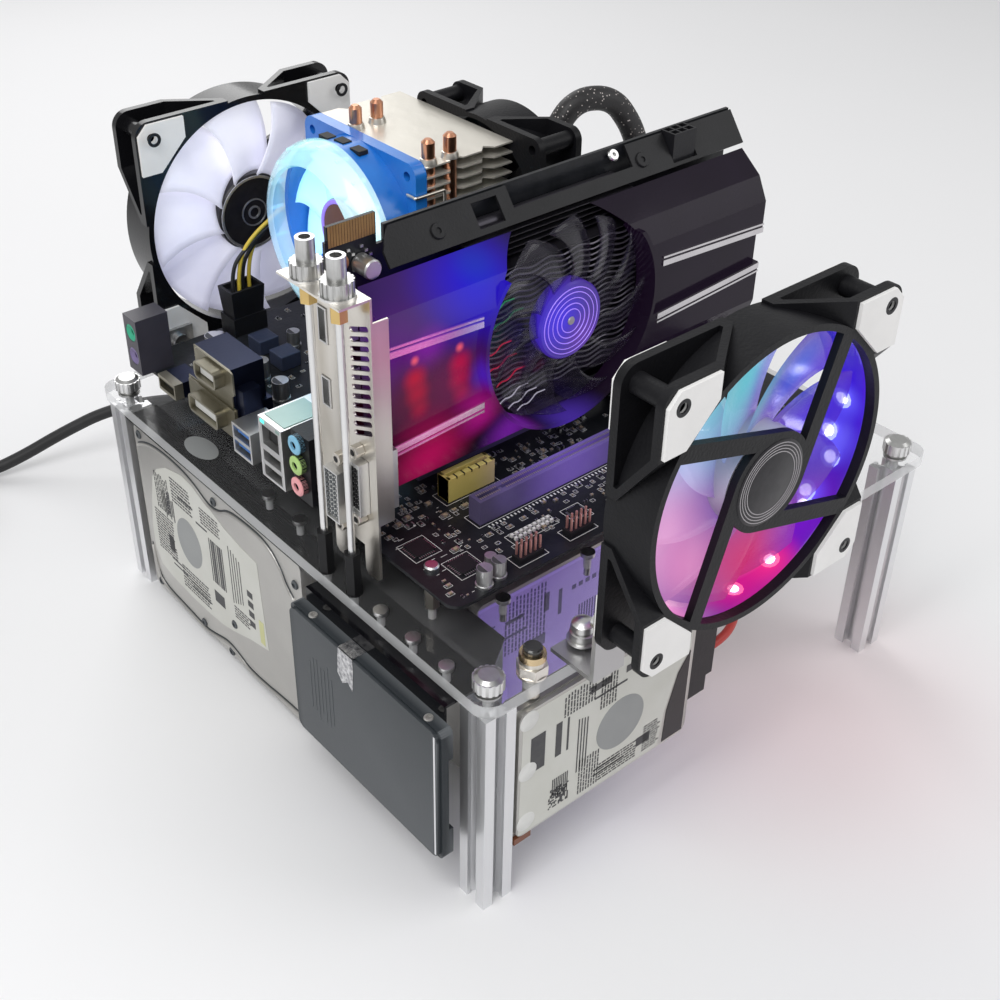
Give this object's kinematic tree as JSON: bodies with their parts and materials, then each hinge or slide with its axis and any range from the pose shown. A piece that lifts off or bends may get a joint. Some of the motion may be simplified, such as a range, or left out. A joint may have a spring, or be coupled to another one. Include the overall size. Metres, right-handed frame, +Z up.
{
  "type": "open air test bench",
  "caption": "Clear deck on slotted legs carrying a computer board, tower cooler, upright card, case fans, hung drives, a power supply below and a mains lead.",
  "frame": {"origin": "on the floor, midway between the four legs", "axes": "+X right along the deck's front edge, +Y from the front fan to the rear fan, +Z up"},
  "size_m": [0.4355, 0.4869, 0.2615],
  "materials": {
    "anodised": "satin",
    "clear_plastic": "clear and polished",
    "zinc": "zinc plated",
    "nickel": "nickel plated",
    "brass": "satin",
    "board_black": "satin laminate",
    "port_metal": "tin plated",
    "black_plastic": "moulded",
    "gloss_black": "polished moulding",
    "violet_plastic": "moulded",
    "blue_plastic": "moulded",
    "lit_blade": "translucent moulding",
    "pad_rubber": "soft",
    "fin_metal": "bare sheet",
    "copper": "plated pipe",
    "black_metal": "powder coated",
    "drive_metal": "dark casting",
    "black_rubber": "sheath"
  },
  "bodies": {
    "bench": {"audio_ports": "port_metal", "board_cans": "fin_metal", "board_chips": "black_plastic", "board_standoffs": "brass", "brass_nuts": "brass", "button_body": "nickel", "button_nut": "nickel", "card_board": "board_black", "card_bracket": "nickel", "card_heatsink": "fin_metal", "card_ports": "port_metal", "card_shroud": "gloss_black", "card_top_frame": "black_metal", "cooler_base": "copper", "cooler_fins": "fin_metal", "corner_thumb_screws": "zinc", "cpu_socket": "port_metal", "deck_plate": "clear_plastic", "drive_brackets": "black_metal", "duct_fan_frame": "blue_plastic", "duct_ring": "clear_plastic", "expansion_slots": "violet_plastic", "fan_brackets": "anodised", "fan_clips": "nickel", "fan_pads": "pad_rubber", "front_fan_frame": "black_plastic", "hard_drives": "drive_metal", "heat_pipes": "copper", "legs": "anodised", "main_cable": "black_rubber", "mains_coil": "black_rubber", "mains_connector": "black_rubber", "mains_cord": "black_rubber", "mains_plug": "black_rubber", "memory_modules": "board_black", "memory_slots": "black_plastic", "motherboard": "board_black", "pan_head_screws": "zinc", "pin_headers": "black_plastic", "power_plugs": "black_plastic", "power_sockets": "black_plastic", "power_supply": "black_metal", "pull_fan_frame": "black_plastic", "rear_fan_frame": "gloss_black", "rod_spacers": "black_metal", "round_port": "violet_plastic", "shroud_trim": "nickel", "small_hard_drive": "drive_metal", "socket_stacks": "port_metal", "solid_state_drive": "black_metal", "supply_leads": "black_rubber", "support_rods": "nickel", "thumb_nuts": "zinc", "video_ports": "port_metal"},
    "front_fan_rotor": {"front_fan_rotor": "lit_blade"},
    "rear_fan_rotor": {"rear_fan_rotor": "lit_blade"},
    "card_fan_rotor": {"card_fan_rotor": "gloss_black"},
    "duct_fan_rotor": {"duct_fan_rotor": "blue_plastic"},
    "pull_fan_rotor": {"pull_fan_rotor": "black_plastic"},
    "button_cap": {"button_cap": "nickel"}
  },
  "joints": [
    {"name": "front_fan_spin", "type": "hinge", "parent": "bench", "child": "front_fan_rotor", "pos_m": [-0.0327, -0.1706, 0.1908], "axis": [0, 1, 0], "continuous": true},
    {"name": "rear_fan_spin", "type": "hinge", "parent": "bench", "child": "rear_fan_rotor", "pos_m": [-0.0379, 0.1544, 0.1806], "axis": [0, 1, 0], "continuous": true},
    {"name": "card_fan_spin", "type": "hinge", "parent": "bench", "child": "card_fan_rotor", "pos_m": [-0.0116, -0.0537, 0.1952], "axis": [0, 1, 0], "continuous": true},
    {"name": "duct_fan_spin", "type": "hinge", "parent": "bench", "child": "duct_fan_rotor", "pos_m": [-0.0348, 0.0673, 0.198], "axis": [1, 0, 0], "continuous": true},
    {"name": "pull_fan_spin", "type": "hinge", "parent": "bench", "child": "pull_fan_rotor", "pos_m": [0.0392, 0.0508, 0.199], "axis": [1, 0, 0], "continuous": true},
    {"name": "button_press", "type": "slide", "parent": "bench", "child": "button_cap", "axis": [0, 0, 1], "range_m": [-0.0009, 0], "stiffness_N_per_m": 400}
  ]
}
